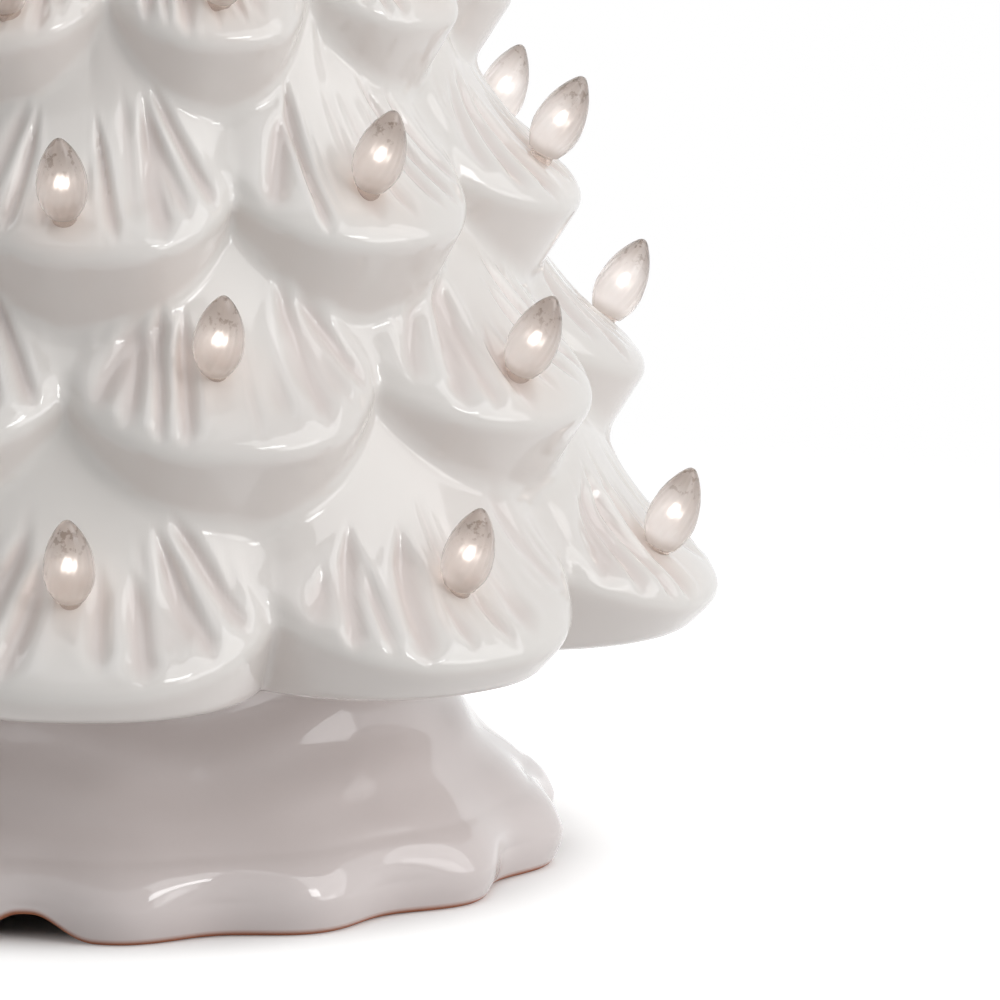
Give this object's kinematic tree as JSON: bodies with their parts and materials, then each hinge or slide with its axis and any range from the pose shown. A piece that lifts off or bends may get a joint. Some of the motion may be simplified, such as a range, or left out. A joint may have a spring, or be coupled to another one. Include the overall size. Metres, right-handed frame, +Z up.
{
  "type": "ceramic christmas tree",
  "caption": "Hollow glazed ceramic tree with tiers of drooping branches and clear twist bulbs, lifting off a scalloped ceramic base that holds a battery light unit.",
  "frame": {"origin": "centre of the foot, on the surface that the base stands on", "axes": "+Z up, the pictured front faces -Y, +X to the right of the front"},
  "size_m": [0.2312, 0.2311, 0.3784],
  "materials": {
    "tree_glaze": "gloss",
    "base_glaze": "gloss",
    "bulb_clear": "clear gloss",
    "star_clear": "clear gloss",
    "housing_plastic": "satin",
    "gasket_foam": "matte",
    "ring_plastic": "satin",
    "dome_opal": "satin",
    "board_laminate": "satin",
    "led_clear": "gloss",
    "screw_steel": "satin",
    "cradle_plastic": "matte",
    "cell_sleeve": "satin",
    "contact_plate": "satin",
    "contact_spring": "satin",
    "lead_red": "satin",
    "lead_black": "satin",
    "door_plastic": "satin",
    "pin_steel": "satin",
    "switch_case": "matte",
    "switch_knob": "matte"
  },
  "bodies": {
    "base": {"base_shell": "base_glaze", "light_housing": "housing_plastic", "flange_gasket": "gasket_foam", "housing_lock_ring": "ring_plastic", "diffuser_dome": "dome_opal", "led_board": "board_laminate", "leds": "led_clear", "board_screws": "screw_steel", "battery_cradle": "cradle_plastic", "battery_cells": "cell_sleeve", "plate_contacts": "contact_plate", "spring_contacts": "contact_spring", "lead_red": "lead_red", "lead_black": "lead_black", "door_pin": "pin_steel", "switch_body": "switch_case"},
    "tree": {"tree_shell": "tree_glaze", "bulbs_tier_1": "bulb_clear", "bulbs_tier_2": "bulb_clear", "bulbs_tier_3": "bulb_clear", "bulbs_tier_4": "bulb_clear", "bulbs_tier_5": "bulb_clear", "bulbs_tier_6": "bulb_clear", "bulbs_tier_7": "bulb_clear", "bulbs_tier_8": "bulb_clear"},
    "star": {"star_topper": "star_clear"},
    "door": {"battery_door": "door_plastic"},
    "knob": {"switch_knob": "switch_knob"}
  },
  "joints": [
    {"name": "tree_lift", "type": "slide", "parent": "base", "child": "tree", "axis": [0, 0, 1], "range_m": [0, 0.08]},
    {"name": "star_lift", "type": "slide", "parent": "tree", "child": "star", "axis": [0, 0, 1], "range_m": [0, 0.03]},
    {"name": "door_hinge", "type": "hinge", "parent": "base", "child": "door", "pos_m": [0, -0.02995, 0.0085], "axis": [-1, 0, 0], "range_deg": [0, 100]},
    {"name": "switch_slide", "type": "slide", "parent": "base", "child": "knob", "axis": [1, 0, 0], "range_m": [0, 0.004]}
  ]
}
